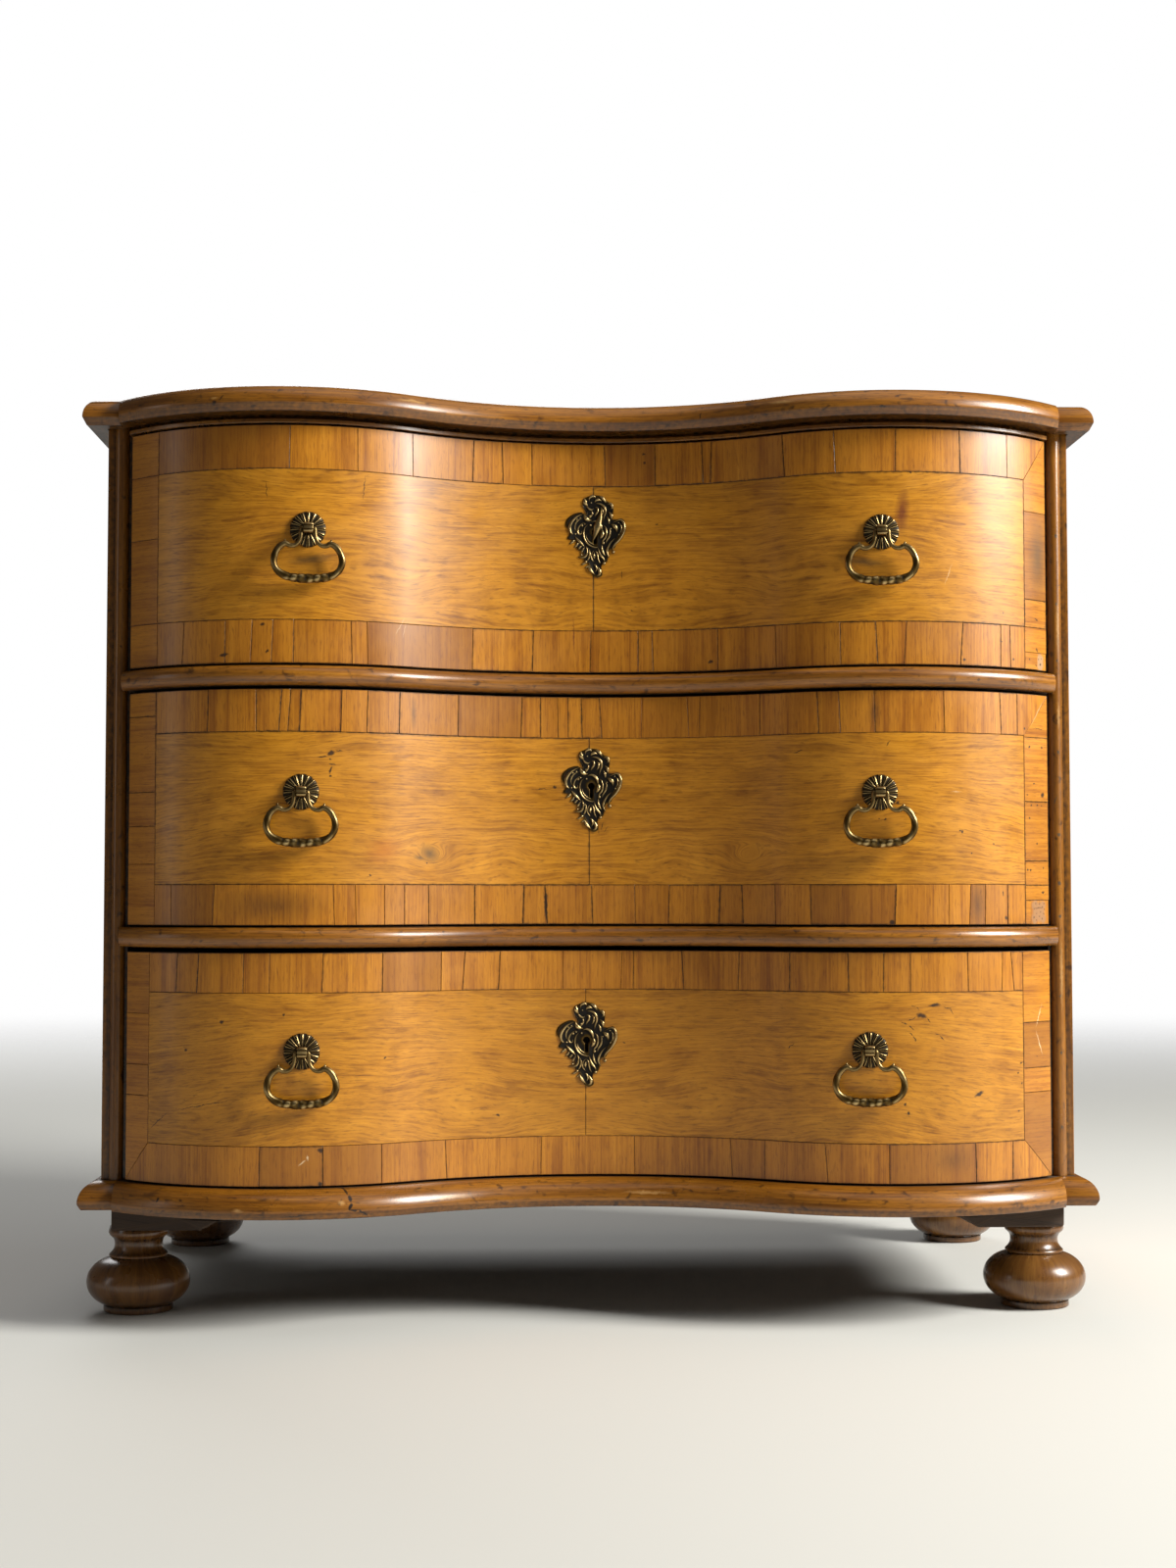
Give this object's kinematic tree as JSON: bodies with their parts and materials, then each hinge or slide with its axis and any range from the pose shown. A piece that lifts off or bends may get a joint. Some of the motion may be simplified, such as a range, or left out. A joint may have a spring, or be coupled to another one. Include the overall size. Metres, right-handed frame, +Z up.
{
  "type": "serpentine chest of drawers",
  "caption": "Walnut-veneered chest of drawers with a serpentine front, mitred ears on its mouldings, turned bun feet, brass bail handles and keyhole escutcheons.",
  "frame": {"origin": "centre of the bounding box's footprint on the floor", "axes": "+X to the right as one faces the drawers, +Y from the front to the back, +Z up"},
  "size_m": [1.0182, 0.661, 0.912],
  "materials": {
    "figured_walnut": "figured walnut veneer, crossbanded, French polished",
    "moulding_walnut": "solid walnut, polished and worn",
    "dark_walnut": "turned dark walnut, waxed",
    "rough_pine": "aged pine, sawn and unfinished",
    "drawer_pine": "planed pine, unfinished",
    "aged_brass": "cast brass with a dark patina",
    "wrought_iron": "filed wrought iron, oxidised"
  },
  "bodies": {
    "carcase": {"top_board": "figured_walnut", "top_front_moulding": "moulding_walnut", "top_left_moulding": "moulding_walnut", "top_right_moulding": "moulding_walnut", "left_side": "figured_walnut", "right_side": "figured_walnut", "left_corner_post": "moulding_walnut", "right_corner_post": "moulding_walnut", "back_panel": "rough_pine", "top_rail": "moulding_walnut", "upper_divider": "rough_pine", "lower_divider": "rough_pine", "upper_divider_moulding": "moulding_walnut", "lower_divider_moulding": "moulding_walnut", "bottom_board": "rough_pine", "base_front_moulding": "moulding_walnut", "base_left_moulding": "moulding_walnut", "base_right_moulding": "moulding_walnut", "left_foot_rail": "rough_pine", "right_foot_rail": "rough_pine", "front_left_foot": "dark_walnut", "front_right_foot": "dark_walnut", "back_left_foot": "dark_walnut", "back_right_foot": "dark_walnut"},
    "lower_drawer": {"lower_drawer_front": "figured_walnut", "lower_drawer_left_side": "drawer_pine", "lower_drawer_right_side": "drawer_pine", "lower_drawer_back": "drawer_pine", "lower_drawer_bottom": "drawer_pine", "lower_lock_case": "wrought_iron", "lower_escutcheon": "aged_brass", "lower_handle_rose_left": "aged_brass", "lower_handle_rose_right": "aged_brass"},
    "lower_bolt": {"lower_lock_bolt": "wrought_iron"},
    "lower_bail_left": {"lower_bail_left": "aged_brass"},
    "lower_bail_right": {"lower_bail_right": "aged_brass"},
    "middle_drawer": {"middle_drawer_front": "figured_walnut", "middle_drawer_left_side": "drawer_pine", "middle_drawer_right_side": "drawer_pine", "middle_drawer_back": "drawer_pine", "middle_drawer_bottom": "drawer_pine", "middle_lock_case": "wrought_iron", "middle_escutcheon": "aged_brass", "middle_handle_rose_left": "aged_brass", "middle_handle_rose_right": "aged_brass"},
    "middle_bolt": {"middle_lock_bolt": "wrought_iron"},
    "middle_bail_left": {"middle_bail_left": "aged_brass"},
    "middle_bail_right": {"middle_bail_right": "aged_brass"},
    "upper_drawer": {"upper_drawer_front": "figured_walnut", "upper_drawer_left_side": "drawer_pine", "upper_drawer_right_side": "drawer_pine", "upper_drawer_back": "drawer_pine", "upper_drawer_bottom": "drawer_pine", "upper_lock_case": "wrought_iron", "upper_escutcheon": "aged_brass", "upper_handle_rose_left": "aged_brass", "upper_handle_rose_right": "aged_brass"},
    "upper_bolt": {"upper_lock_bolt": "wrought_iron"},
    "upper_bail_left": {"upper_bail_left": "aged_brass"},
    "upper_bail_right": {"upper_bail_right": "aged_brass"}
  },
  "joints": [
    {"name": "lower_drawer_slide", "type": "slide", "parent": "carcase", "child": "lower_drawer", "axis": [0, -1, 0], "range_m": [0, 0.4]},
    {"name": "lower_bolt_slide", "type": "slide", "parent": "lower_drawer", "child": "lower_bolt", "axis": [0, 0, 1], "range_m": [0, 0.011]},
    {"name": "lower_bail_left_swing", "type": "hinge", "parent": "lower_drawer", "child": "lower_bail_left", "pos_m": [-0.27865, -0.31628, 0.26958], "axis": [-0.9946, -0.1036, 0], "range_deg": [-8, 95]},
    {"name": "lower_bail_right_swing", "type": "hinge", "parent": "lower_drawer", "child": "lower_bail_right", "pos_m": [0.26595, -0.31461, 0.26958], "axis": [-0.9875, 0.1577, 0], "range_deg": [-8, 95]},
    {"name": "middle_drawer_slide", "type": "slide", "parent": "carcase", "child": "middle_drawer", "axis": [0, -1, 0], "range_m": [0, 0.4]},
    {"name": "middle_bolt_slide", "type": "slide", "parent": "middle_drawer", "child": "middle_bolt", "axis": [0, 0, 1], "range_m": [0, 0.011]},
    {"name": "middle_bail_left_swing", "type": "hinge", "parent": "middle_drawer", "child": "middle_bail_left", "pos_m": [-0.28077, -0.3165, 0.51902], "axis": [-0.9955, -0.0946, 0], "range_deg": [-8, 95]},
    {"name": "middle_bail_right_swing", "type": "hinge", "parent": "middle_drawer", "child": "middle_bail_right", "pos_m": [0.27759, -0.31617, 0.51902], "axis": [-0.9941, 0.1081, 0], "range_deg": [-8, 95]},
    {"name": "upper_drawer_slide", "type": "slide", "parent": "carcase", "child": "upper_drawer", "axis": [0, -1, 0], "range_m": [0, 0.4]},
    {"name": "upper_bolt_slide", "type": "slide", "parent": "upper_drawer", "child": "upper_bolt", "axis": [0, 0, 1], "range_m": [0, 0.011]},
    {"name": "upper_bail_left_swing", "type": "hinge", "parent": "upper_drawer", "child": "upper_bail_left", "pos_m": [-0.27548, -0.31593, 0.774], "axis": [-0.9931, -0.1171, 0], "range_deg": [-8, 95]},
    {"name": "upper_bail_right_swing", "type": "hinge", "parent": "upper_drawer", "child": "upper_bail_right", "pos_m": [0.28077, -0.3165, 0.774], "axis": [-0.9955, 0.0946, 0], "range_deg": [-8, 95]}
  ]
}
